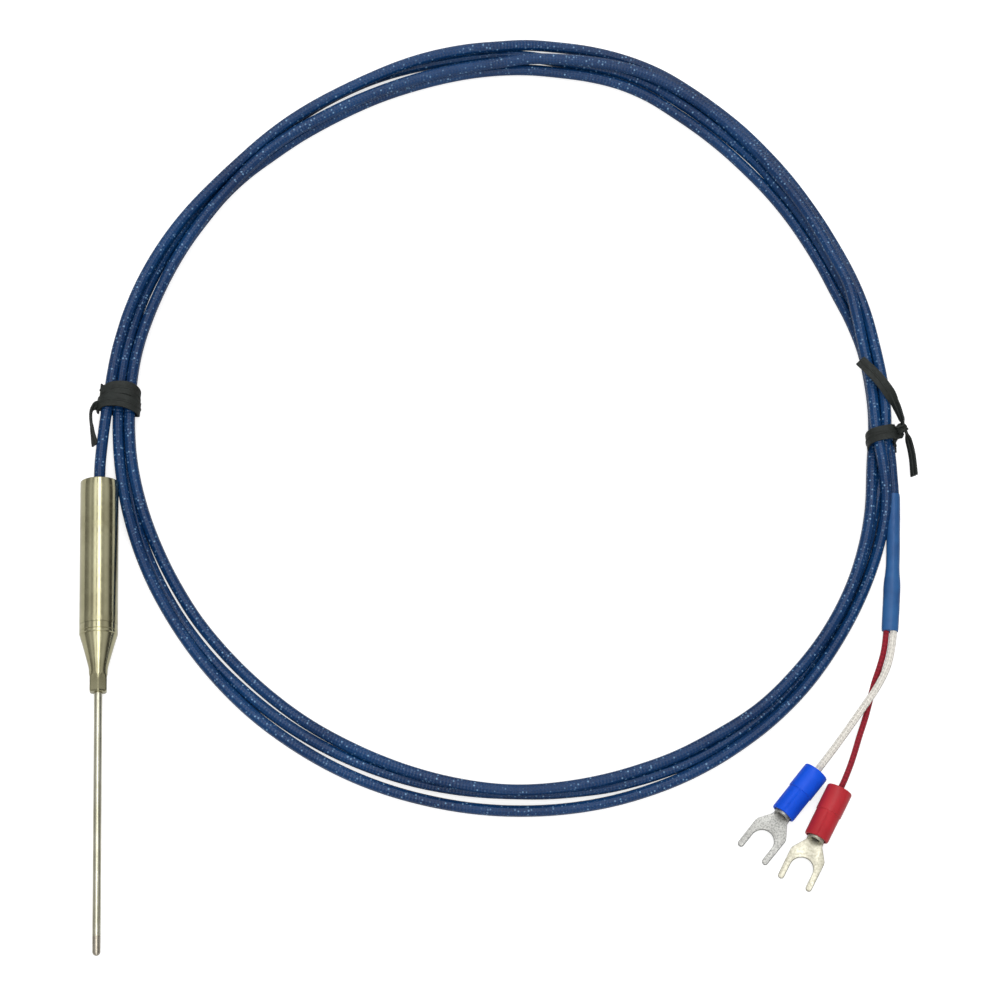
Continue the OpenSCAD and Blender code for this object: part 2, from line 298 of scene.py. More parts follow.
def cord_tube(
    name: str, route: Sequence[Vector], diameter: float, sides: int = 3
) -> bpy.types.Object:
    """Makes a round cord from a bevelled curve, with a UV map of (along, around).

    Args:
        name: The piece's name.
        route: Evenly spaced points of the centreline, in metres.
        diameter: The cord's diameter in metres.
        sides: The curve's bevel resolution.

    Returns:
        The cord as a mesh.
    """
    curve = bpy.data.curves.new(name, "CURVE")
    curve.dimensions = "3D"
    curve.twist_mode = "MINIMUM"
    spline = curve.splines.new("POLY")
    spline.points.add(len(route) - 1)
    for point, at in zip(spline.points, route):
        point.co = (*at, 1)
    curve.bevel_depth = diameter / 2
    curve.bevel_resolution = sides
    curve.use_fill_caps = True
    piece = bpy.data.objects.new(name, curve)
    bpy.context.scene.collection.objects.link(piece)
    pick(piece)
    bpy.ops.object.convert(target="MESH")
    piece = bpy.context.object
    piece.data.name = name
    soften(piece, 60)
    return piece


# Finishes


class Recipe:
    """A node material while it is put together."""

    def __init__(self, name: str) -> None:
        """Starts a material with one principled shader."""
        self.material = bpy.data.materials.new(name)
        self.material.use_nodes = True
        self.tree = self.material.node_tree
        self.shader = self.tree.nodes["Principled BSDF"]

    def node(
        self, kind: str, inputs: dict[int | str, object] | None = None, **settings: object
    ) -> bpy.types.Node:
        """Adds a node.

        Args:
            kind: The node's type, without its ShaderNode prefix.
            inputs: A value or an output socket for each input, by name or number.
            settings: The node's own settings.

        Returns:
            The new node.
        """
        made = self.tree.nodes.new("ShaderNode" + kind)
        for key, value in settings.items():
            setattr(made, key, value)
        for key, value in (inputs or {}).items():
            self.feed(made.inputs[key], value)
        return made

    def feed(self, socket: bpy.types.NodeSocket, value: object) -> None:
        """Links an output to a socket, or writes a plain value on it."""
        if isinstance(value, bpy.types.NodeSocket):
            self.tree.links.new(value, socket)
        else:
            socket.default_value = value

    def set(self, **values: object) -> None:
        """Sets the shader's own sockets, named with underscores for spaces."""
        for key, value in values.items():
            self.feed(self.shader.inputs[key.replace("_", " ")], value)

    def math(self, operation: str, *values: object) -> bpy.types.NodeSocket:
        """Adds a Math node and gives its result."""
        return self.node("Math", dict(enumerate(values)), operation=operation).outputs[0]

    def noise(
        self, scale: float, stretch: Point = (1, 1, 1), detail: float = 3, turn: Point = (0, 0, 0)
    ) -> bpy.types.NodeSocket:
        """Adds noise on Object coordinates.

        Args:
            scale: How fine the noise is, per metre.
            stretch: The scale on each axis.
            detail: The noise's octaves.
            turn: The pattern's turn on each axis, in radians.

        Returns:
            The noise's factor.
        """
        place_at = self.node("TexCoord").outputs["Object"]
        mapped = self.node("Mapping", {"Vector": place_at, "Rotation": turn, "Scale": stretch})
        made = self.node(
            "TexNoise", {"Vector": mapped.outputs[0], "Scale": scale, "Detail": detail}
        )
        return made.outputs[0]

    def ramp(
        self, factor: object, low: float, high: float, bottom: float, top: float
    ) -> bpy.types.NodeSocket:
        """Maps a factor from one range to another and gives the result."""
        made = self.node("MapRange", {0: factor, 1: low, 2: high, 3: bottom, 4: top})
        return made.outputs[0]

    def blend(self, factor: object, first: Color, second: Color) -> bpy.types.NodeSocket:
        """Mixes two colours by a factor and gives the result."""
        made = self.node("Mix", {0: factor}, data_type="RGBA")
        self.feed(made.inputs[6], (*first, 1) if isinstance(first, tuple) else first)
        self.feed(made.inputs[7], (*second, 1) if isinstance(second, tuple) else second)
        return made.outputs[2]

    def bump(self, height: object, depth: float, strength: float = 1) -> None:
        """Raises the surface by a height, to a depth in metres."""
        made = self.node("Bump", {"Height": height, "Distance": depth, "Strength": strength})
        self.feed(self.shader.inputs["Normal"], made.outputs[0])


class Grain(Enum):
    """Which way the fine lines of a metal run."""

    AROUND = (40.0, 900.0, 40.0)
    ALONG = (900.0, 25.0, 900.0)
    NONE = (300.0, 300.0, 300.0)


@dataclass(frozen=True)
class MetalFinish:
    """Bare metal with fine lines and slight staining."""

    name: str
    color: Color
    stain: Color
    roughness: float = 0.28
    grain: Grain = Grain.NONE
    depth: float = 0.0000012
    cloud: float = 180.0

    def material(self) -> bpy.types.Material:
        """Makes the material."""
        recipe = Recipe(self.name)
        lines = recipe.noise(1.0, self.grain.value, 4)
        cloud = recipe.noise(self.cloud, detail=5)
        recipe.set(
            Base_Color=recipe.blend(recipe.ramp(cloud, 0.42, 0.68, 0.0, 1.0), self.color,
            self.stain),
            Metallic=1.0,
            Roughness=recipe.ramp(lines, 0.3, 0.7, self.roughness - 0.06, self.roughness + 0.08),
        )
        recipe.bump(lines, self.depth)
        return recipe.material


@dataclass(frozen=True)
class JacketFinish:
    """A clear blue jacket over a fine braid, with painted glints and painted shade in its valleys.
    """

    name: str
    dark_mottle_and_shade: Color
    lit: Color
    glint: Color
    length: float
    pitch: float = 0.00062
    around: int = 10

    def material(self) -> bpy.types.Material:
        """Makes the material."""
        recipe = Recipe(self.name)
        weave, mapped = braid(recipe, self.length, self.pitch, self.around)
        cell = recipe.node(
            "TexVoronoi", {"Vector": mapped, "Scale": 1.0, "Randomness": 0.75}
        ).outputs
        spark = recipe.node("SeparateXYZ", {0: cell["Color"]}).outputs
        # Painted glints: light dots of the glint colour, painted into the base colour in random
        # braid cells.
        dot = recipe.ramp(cell["Distance"], 0.1, 0.36, 1.0, 0.0)
        painted_glint = recipe.math("MULTIPLY", dot, recipe.ramp(spark[0], 0.1, 0.75, 0.0, 1.0))
        cloud = recipe.noise(60.0, detail=3)
        patch = recipe.ramp(cloud, 0.35, 0.65, 0.0, 0.7)
        # Painted shade: the braid's valleys lean to the darker colour and its crowns to the lit
        # one, over random darker and lighter patches.
        yarn = recipe.math("ADD", patch, recipe.ramp(weave, -1.0, 1.0, -0.1, 0.3))
        base = recipe.blend(yarn, self.dark_mottle_and_shade, self.lit)
        recipe.set(
            Base_Color=recipe.blend(painted_glint, base, self.glint),
            Roughness=recipe.ramp(weave, -1.0, 1.0, 0.4, 0.22),
            Specular_IOR_Level=0.26,
        )
        recipe.bump(weave, 0.00004)
        return recipe.material


@dataclass(frozen=True)
class BraidFinish:
    """A woven yarn sleeve, in small diamonds, with a little fuzz and painted shade in the weave's
    valleys.
    """

    name: str
    color: Color
    shade: Color
    length: float
    pitch: float = 0.0008
    around: int = 6
    sheen: float = 0.04

    def material(self) -> bpy.types.Material:
        """Makes the material."""
        recipe = Recipe(self.name)
        weave, mapped = braid(recipe, self.length, self.pitch, self.around)
        yarn = recipe.node("TexNoise", {"Vector": mapped, "Scale": 5.0, "Detail": 3}).outputs[0]
        # Painted shade: the weave's valleys take the shade colour, with random fuzz from the yarn
        # noise on top.
        valley_shade_and_fuzz = recipe.math("ADD", recipe.ramp(weave, -0.9, 0.4, 0.75, 0.0), recipe.ramp(yarn,
            0.4, 0.7, 0.0, 0.35))
        recipe.set(
            Base_Color=recipe.blend(valley_shade_and_fuzz, self.color, self.shade),
            Roughness=recipe.ramp(yarn, 0.3, 0.7, 0.62, 0.8),
            Specular_IOR_Level=0.25,
            Sheen_Weight=self.sheen,
            Sheen_Roughness=0.5,
        )
        recipe.bump(recipe.math("ADD", weave, recipe.math("MULTIPLY", yarn, 0.4)), 0.00009)
        return recipe.material


def braid(
    recipe: Recipe, length: float, pitch: float, around: int
) -> tuple[bpy.types.NodeSocket, bpy.types.NodeSocket]:
    """Draws two sets of crossing helical strands from a cord's UV map.

    Args:
        recipe: The material being made.
        length: The cord's length, which its map spans once.
        pitch: The length of one diamond.
        around: How many diamonds go round the cord.

    Returns:
        The height from -1 to 1, and the mapped coordinates.
    """
    spread = recipe.node("UVMap", uv_map="UVMap").outputs[0]
    mapped = recipe.node(
        "Mapping", {"Vector": spread, "Scale": (length / pitch, around, 1)}
    ).outputs[0]
    parts = recipe.node("SeparateXYZ", {0: mapped}).outputs
    waves = [
        recipe.math("SINE", recipe.math("MULTIPLY", recipe.math(sign, parts[0], parts[1]),
        math.tau / 2))
        for sign in ("ADD", "SUBTRACT")
    ]
    return recipe.math("MULTIPLY", *waves), mapped


@dataclass(frozen=True)
class MouldedFinish:
    """A moulded or extruded plastic or rubber, faintly mottled and dimpled."""

    name: str
    color: Color
    shade: Color
    roughness: float = 0.4
    scale: float = 700.0
    depth: float = 0.00001
    coat: float = 0.0
    through: float = 0.0

    def material(self) -> bpy.types.Material:
        """Makes the material."""
        recipe = Recipe(self.name)
        mottle = recipe.noise(self.scale / 4, detail=4)
        dimple = recipe.noise(self.scale, detail=3)
        recipe.set(
            Base_Color=recipe.blend(recipe.ramp(mottle, 0.38, 0.66, 0.0, 1.0), self.color,
            self.shade),
            Roughness=recipe.ramp(dimple, 0.3, 0.7, self.roughness - 0.06, self.roughness + 0.08),
            Specular_IOR_Level=0.22,
            Coat_Weight=self.coat,
            Coat_Roughness=0.25,
            Subsurface_Weight=self.through,
            Subsurface_Scale=0.0006,
        )
        recipe.bump(dimple, self.depth)
        return recipe.material


# Camera, light and floor


@dataclass
class Viewpoint:
    """The camera, above and in front of the table."""

    target: Point = (73.216, 40.459, 0)
    distance: float = 900.0
    tilt: float = 18.0
    roll: float = -1.124
    lens: float = 176.58

    def build(self) -> bpy.types.Object:
        """Makes the camera and looks through it.

        Returns:
            The camera.
        """
        tilt, roll = math.radians(self.tilt), math.radians(self.roll)
        ahead = Vector((0, math.sin(tilt), -math.cos(tilt)))
        level_up = Vector((0, math.cos(tilt), math.sin(tilt)))
        level_right = Vector((1, 0, 0))
        right = level_right * math.cos(roll) + level_up * math.sin(roll)
        up = level_up * math.cos(roll) - level_right * math.sin(roll)
        data = bpy.data.cameras.new("view")
        data.lens = self.lens
        data.sensor_width = 36.0
        data.clip_start = 0.01
        camera = bpy.data.objects.new("view", data)
        turn = Matrix((right, up, -ahead)).transposed().to_4x4()
        spot = (Vector(self.target) - self.distance * ahead) * MM
        camera.matrix_world = Matrix.Translation(spot) @ turn
        bpy.context.scene.collection.objects.link(camera)
        bpy.context.scene.camera = camera
        return camera


@dataclass
class Studio:
    """A pale table under soft light."""

    sky: tuple[tuple[float, float], ...] = (
        (-100, 0.16), (-62, 0.42), (-50, 0.85), (-38, 0.5), (-30, 0.55), (-25, 1.7), (-14, 1.9),
        (-9, 0.75), (-5, 0.75), (-1, 3.8), (10, 5.0), (15, 1.0), (24, 0.5), (44, 0.76), (60, 0.6),
        (72, 0.1), (110, 0.04),
    )
    sky_level: float = 1.0
    floor_glow: float = 0.3
    floor_size: float = 8.0

    def build(self) -> None:
        """Lays the floor and hangs the lights."""
        bpy.context.scene.view_settings.view_transform = "Standard"
        self.hang_sky()
        self.lay_floor()

    def hang_sky(self) -> None:
        """Lights the room with long strips of light and shade that run along Y."""
        world = bpy.data.worlds.new("room")
        world.use_nodes = True
        bpy.context.scene.world = world
        tree = world.node_tree
        back = tree.nodes["Background"]
        coords = tree.nodes.new("ShaderNodeTexCoord")
        parts = tree.nodes.new("ShaderNodeSeparateXYZ")
        lean = tree.nodes.new("ShaderNodeMath")
        lean.operation = "ARCTAN2"
        spread = tree.nodes.new("ShaderNodeMapRange")
        strips = tree.nodes.new("ShaderNodeValToRGB")
        level = tree.nodes.new("ShaderNodeMath")
        level.operation = "MULTIPLY"
        rays = tree.nodes.new("ShaderNodeLightPath")
        mix = tree.nodes.new("ShaderNodeMix")
        tree.links.new(coords.outputs["Generated"], parts.inputs[0])
        tree.links.new(parts.outputs["X"], lean.inputs[0])
        tree.links.new(parts.outputs["Z"], lean.inputs[1])
        tree.links.new(lean.outputs[0], spread.inputs["Value"])
        first, last = self.sky[0][0], self.sky[-1][0]
        spread.inputs["From Min"].default_value = math.radians(first)
        spread.inputs["From Max"].default_value = math.radians(last)
        tree.links.new(spread.outputs[0], strips.inputs[0])
        peak = max(value for _, value in self.sky)
        stops = strips.color_ramp.elements
        while len(stops) < len(self.sky):
            stops.new(0.5)
        for stop, (angle, value) in zip(stops, self.sky):
            stop.position = (angle - first) / (last - first)
            stop.color = (value / peak, value / peak, value / peak, 1)
        tree.links.new(strips.outputs[0], level.inputs[0])
        level.inputs[1].default_value = peak * self.sky_level
        tree.links.new(level.outputs[0], mix.inputs[2])
        tree.links.new(rays.outputs["Is Camera Ray"], mix.inputs[0])
        mix.inputs[3].default_value = 1.0
        back.inputs["Color"].default_value = (1, 1, 1, 1)
        tree.links.new(mix.outputs[0], back.inputs["Strength"])

    def lay_floor(self) -> None:
        """Lays the white floor, which keeps a light shadow."""
        deselect()
        bpy.ops.mesh.primitive_plane_add(size=self.floor_size)
        floor = bpy.context.object
        floor.name = "floor"
        recipe = Recipe("floor_white")
        grain = recipe.noise(30.0)
        rays = recipe.node("LightPath").outputs
        mirrored = recipe.math("MAXIMUM", rays["Is Glossy Ray"], rays["Is Transmission Ray"])
        seen = recipe.math("MAXIMUM", rays["Is Camera Ray"], recipe.math("MULTIPLY", mirrored,
            self.floor_glow))
        recipe.set(
            Base_Color=recipe.blend(grain, (0.5, 0.5, 0.5), (0.52, 0.52, 0.52)),
            Roughness=0.9,
            Specular_IOR_Level=0.0,
            Emission_Color=(1, 1, 1, 1),
            Emission_Strength=recipe.math("MULTIPLY", seen, 0.68),
        )
        floor.data.materials.append(recipe.material)


# The cable and its leads


@dataclass(frozen=True)
class Lap:
    """One lap of the coil: its distance outside the oval by angle, and its rank in the pile."""

    offsets: tuple[tuple[float, float], ...]
    ranks: tuple[tuple[float, float], ...]

    def rank(self, at: float) -> float:
        """Gives the lap's place in the pile at an angle: a higher one lies on a lower one."""
        place_now = self.ranks[0][1]
        for angle, value in self.ranks:
            if at <= angle:
                place_now = value
        return place_now


@dataclass
class WoundCable:
    """The blue cable: out of the sleeve, three and a half laps, and down to the shrink tube."""

    diameter: float = 2.1
    centre: tuple[float, float] = (74.4, 55.4)
    radii: tuple[float, float] = (69.0, 72.5)
    rest_height: float = 1.1
    tie_lift: float = 0.5
    tie_angles: tuple[float, float] = (175.5, -4.5)
    angle_step: float = 1.5
    lead_in: tuple[Point, ...] = (
        (0, 37.65, 3.5), (0, 42.25, 3.5), (0, 45.25, 3.5), (0.1, 48, 3.6), (0.5, 52, 3.8),
        (1.0, 56, 4.0), (1.6, 60, 4.0), (2.2, 64.8, 3.8), (3.1, 70, 3.4),
    )
    tail: tuple[Point, ...] = (
        (145.15, 43, 1.8), (145.25, 40, 1.7), (145.1, 36, 1.5), (144.9, 32, 1.4), (144.7, 28, 1.4),
        (144.4, 24, 1.4),
    )
    laps: tuple[Lap, ...] = (
        Lap(
            (
                (165, 3.37), (160, 3.09), (155, 2.66), (150, 2.02), (145, 1.27), (140, 0.54),
                (135, 0.07), (130, -0.04), (125, -0.09), (120, -0.17), (115, -0.19), (110, 0.01),
                (105, 0.44), (100, 0.87), (95, 1.21), (90, 1.52), (85, 2.41), (80, 2.8), (75, 3.1),
                (70, 3.19), (65, 3.02), (60, 2.46), (55, 1.94), (50, 1.57), (45, 1.15), (40, 0.88),
                (35, 0.63), (30, 0.53), (25, 0.5), (20, 0.38), (15, 0.42), (10, 0.5), (5, 0.75),
                (0, 0.95), (-5, 0.96), (-8, 0.97), (-10, 0.8), (-12, 0.65), (-15, 0.7), (-20, 0.95),
                (-27, 1.3), (-35, 1.8), (-44, 2.1), (-50, 1.95), (-55, 1.75), (-62, 1.3),
                (-68, 0.65),
                (-72, 0.2), (-75, -0.1), (-80, -0.75), (-84, -1.15), (-90, -1.67), (-98, -1.85),
                (-105, -1.83), (-112, -1.75), (-120, -1.5), (-128, -1.15), (-135, -0.78),
                (-142, -0.25), (-145, -0.05), (-150, 0.3), (-157, 0.7), (-163, 0.95), (-170, 0.9),
                (-180, 0.95),
            ),
            ((200, 2), (-12, 0)),
        ),
        Lap(
            (
                (180, 0.95), (170, 0.54), (165, 0.08), (160, -0.28), (155, -0.6), (150, -0.92),
                (145, -1.29), (140, -1.52), (135, -2.0), (130, -2.68), (125, -3.06), (120, -3.39),
                (115, -3.53), (110, -3.51), (105, -3.45), (100, -3.25), (95, -2.94), (90, -2.64),
                (85, -2.39), (80, -2.25), (75, -1.9), (70, -1.71), (65, -1.98), (60, -2.64),
                (55, -3.06), (50, -3.38), (45, -3.6), (40, -3.62), (35, -3.61), (30, -3.57),
                (25, -3.4), (20, -3.1), (15, -2.3), (10, -1.6), (5, -1.35), (0, -1.15), (-5, -1.15),
                (-8, -1.15), (-11, -0.85), (-15, -0.2), (-20, 0.45), (-27, 1.1), (-35, 1.35),
                (-42, 1.2), (-50, 0.9), (-58, -0.1), (-65, -0.6), (-70, -1.0), (-75, -1.25),
                (-80, -1.45), (-90, -1.8), (-98, -2.4), (-105, -2.9), (-112, -3.3), (-120, -3.55),
                (-128, -3.45), (-135, -3.2), (-142, -2.75), (-148, -2.25), (-154, -1.85),
                (-161, -1.25), (-166, -0.75), (-174, -0.15), (-180, 0.0),
            ),
            ((200, 0), (-8, 3)),
        ),
        Lap(
            (
                (180, -0.0), (170, -0.02), (165, -0.29), (160, -0.71), (155, -1.03), (150, -1.31),
                (145, -1.58), (140, -1.9), (135, -2.03), (130, -2.13), (125, -2.39), (120, -2.86),
                (115, -3.08), (110, -3.15), (105, -3.05), (100, -2.8), (95, -2.51), (90, -1.94),
                (85, -0.91), (80, -0.41), (76, 0.13), (70, 0.92), (65, 1.14), (60, 0.99),
                (55, 0.61),
                (50, 0.12), (45, -0.36), (40, -0.96), (35, -1.18), (30, -1.3), (25, -1.31),
                (20, -1.0),
                (15, -1.45), (10, -1.6), (5, -1.35), (0, -1.15), (-3, -0.9), (-6, -0.1), (-9, 1.0),
                (-12, 2.0), (-15, 2.65), (-20, 3.05), (-28, 3.4), (-35, 3.65), (-43, 3.95),
                (-50, 3.9),
                (-55, 3.7), (-60, 3.48), (-70, 2.8), (-75, 2.5), (-84, 1.9), (-90, 1.55),
                (-100, 1.15),
                (-105, 1.05), (-115, 1.0), (-125, 1.0), (-133, 1.2), (-140, 1.4), (-150, 1.65),
                (-157, 1.9), (-165, 2.05), (-172, 2.1), (-180, 2.1),
            ),
            ((200, 4), (-14, 1.5)),
        ),
        Lap(
            (
                (180, 2.1), (170, 2.01), (165, 1.89), (160, 1.77), (155, 1.5), (150, 1.18),
                (145, 0.81), (140, 0.63), (135, 0.35), (130, 0.27), (125, 0.19), (120, 0.29),
                (115, 0.37), (110, 0.42), (105, 0.3), (100, 0.15), (95, 0.21), (90, 0.46),
                (85, 0.26),
                (80, -0.1), (75, 0.2), (70, 0.39), (65, 0.07), (60, -0.59), (55, -1.01),
                (50, -1.23),
                (45, -1.45), (40, -1.86), (35, -1.86), (30, -1.87), (25, -1.78), (20, -1.3),
                (15, -0.45), (10, 0.5), (5, 0.75), (0, 0.95), (-4, 1.5), (-8, 2.4),
            ),
            ((200, 1), (-1, 0.5)),
        ),
    )

    def height_at(self, angle: float) -> float:
        """Gives the height of the lowest lap, a little raised where a tie passes under it."""
        lift = sum(
            math.exp(-(((angle - tie + 180) % 360 - 180) / 9) ** 2) for tie in self.tie_angles
        )
        return self.rest_height + self.tie_lift * lift

    def piled(self, angle: float) -> list[tuple[int, float]]:
        """Lays the laps at one angle on each other, from the lowest place in the pile up.

        Args:
            angle: The angle, from -180 to 180.

        Returns:
            The number and the height of each lap that is there.
        """
        there = []
        for number, lap in enumerate(self.laps):
            if lap.offsets[-1][0] - 1e-6 <= angle <= lap.offsets[0][0] + 1e-6:
                there.append((lap.rank(angle), number, between(lap.offsets, angle)))
        laid: list[tuple[int, float, float]] = []
        for _, number, offset in sorted(there):
            height = self.height_at(angle)
            for _, other_height, other_offset in laid:
                apart = abs(offset - other_offset)
                if apart < self.diameter:
                    height = max(height, other_height + math.sqrt(self.diameter**2 - apart**2))
            laid.append((number, height, offset))
        return [(number, height) for number, height, _ in laid]

    def coil_points(self) -> list[Vector]:
        """Works out the coil's turns, one lap after another.

        Returns:
            Points of the coil in millimetres.
        """
        count = round(360 / self.angle_step)
        heights = {}
        for i in range(count + 1):
            angle = 180 - i * self.angle_step
            for number, height in self.piled(angle):
                heights[number, i] = height
        flat: list[tuple[float, float, float]] = []
        for number, lap in enumerate(self.laps):
            for i in range(count):
                if (number, i) in heights:
                    angle = 180 - i * self.angle_step
                    flat.append((angle, between(lap.offsets, angle), heights[number, i]))
        smooth = [z for _, _, z in flat]
        for _ in range(6):
            smooth = [
                (smooth[max(i - 1, 0)] + 2 * z + smooth[min(i + 1, len(smooth) - 1)]) / 4
                for i, z in enumerate(smooth)
            ]
        return [
            Vector(
                (
                    self.centre[0] + (self.radii[0] + offset) * math.cos(math.radians(angle)),
                    self.centre[1] + (self.radii[1] + offset) * math.sin(math.radians(angle)),
                    height,
                )
            )
            for (angle, offset, _), height in zip(flat, smooth)
        ]

    def route(self) -> list[Vector]:
        """Gives the whole centreline in metres, in even steps."""
        points = [Vector(p) for p in self.lead_in] + self.coil_points()
        points += [Vector(p) for p in self.tail]
        return smooth_route([p * MM for p in points], 0.001)

    def build(self) -> tuple[bpy.types.Object, list[Vector]]:
        """Makes the cable.

        Returns:
            The cable and its centreline.
        """
        route = self.route()
        piece = cord_tube("cable", route, self.diameter * MM, 3)
        # The jacket's colours: the darker one for random patches and painted shade, the lit one,
        # and the painted glint.
        finish = JacketFinish(
            "clear_blue_jacket", paint(5, 35, 73), paint(11, 58, 104), paint(112, 150, 184),
            route_length(route),
        )
        piece.data.materials.append(finish.material())
        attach(piece, BODY)
        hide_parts("cable_lead_in", "cable_coil", "cable_tail")
        LOG.info("cable %.3f m", route_length(route))
        return piece, route


@dataclass
class BraidedLead:
    """A thin woven lead from the shrink tube to its terminal."""

    name: str
    node: str
    slot: str
    diameter: float
    points: tuple[Point, ...]
    color: Color
    shade: Color

    def build(self) -> tuple[bpy.types.Object, list[Vector]]:
        """Makes the lead.

        Returns:
            The lead and its centreline.
        """
        route = smooth_route(metres(self.points), LEAD_STEP)
        piece = cord_tube(self.name, route, self.diameter * MM, 4)
        finish = BraidFinish(self.slot + "_yarn", self.color, self.shade, route_length(route))
        piece.data.materials.append(finish.material())
        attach(piece, BODY)
        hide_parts(self.node)
        LOG.info("%s %.3f m", self.name, route_length(route))
        return piece, route


@dataclass
class ShrinkTube:
    """The blue tube shrunk over the cable's end and the two leads."""

    width_top: float = 2.5
    width_bottom: float = 3.1
    depth_bottom: float = 2.3
    points: tuple[Point, ...] = (
        (145.2, 39.5, 1.7), (145.1, 36, 1.5), (144.9, 32, 1.4), (144.7, 28, 1.4), (144.4, 24, 1.4),
        (144.0, 19, 1.4), (143.5, 13.5, 1.4),
    )
    sides: int = 28

    def build(self) -> bpy.types.Object:
        """Makes the tube: round over the cable, flatter over the two leads.

        Returns:
            The tube.
        """
        route = smooth_route(metres(self.points), SHRINK_STEP)
        piece = cord_tube("shrink_sleeve", route, 0.001, 6)
        last = len(route) - 1
        mesh = piece.data
        for vertex in mesh.vertices:
            near = min(range(len(route)), key=lambda i: (route[i] - vertex.co).length_squared)
            along = near / last
            spread = min(max((along - 0.52) / 0.16, 0), 1)
            spread = spread * spread * (3 - 2 * spread)
            way = (route[min(near + 1, last)] - route[max(near - 1, 0)]).normalized()
            side = way.cross(UP).normalized()
            lift = side.cross(way)
            offset = vertex.co - route[near]
            across, through = offset.dot(side) * 2 / MM, offset.dot(lift) * 2 / MM
            ripple = 0.02 * math.sin(along * 61) * math.sin(along * 23 + 1)
            width = (1 - spread) * self.width_top + spread * self.width_bottom + ripple
            depth = (1 - spread) * self.width_top + spread * self.depth_bottom + ripple
            end = min(near, last - near)
            rim = 1 - 0.05 * max(0, 1 - end / 1.5)
            vertex.co = route[near] + (
                side * across * width / 2 * rim + lift * through * depth / 2 * rim
            ) * MM + offset.dot(way) * way
        soften(piece, 50)
        finish = MouldedFinish(
            "satin_shrink_blue", paint(38, 86, 138), paint(30, 70, 120), 0.42, 900.0, 0.00002, 0.1
        )
        piece.data.materials.append(finish.material())
        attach(piece, BODY)
        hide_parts("shrink_tube")
        return piece


# Probe


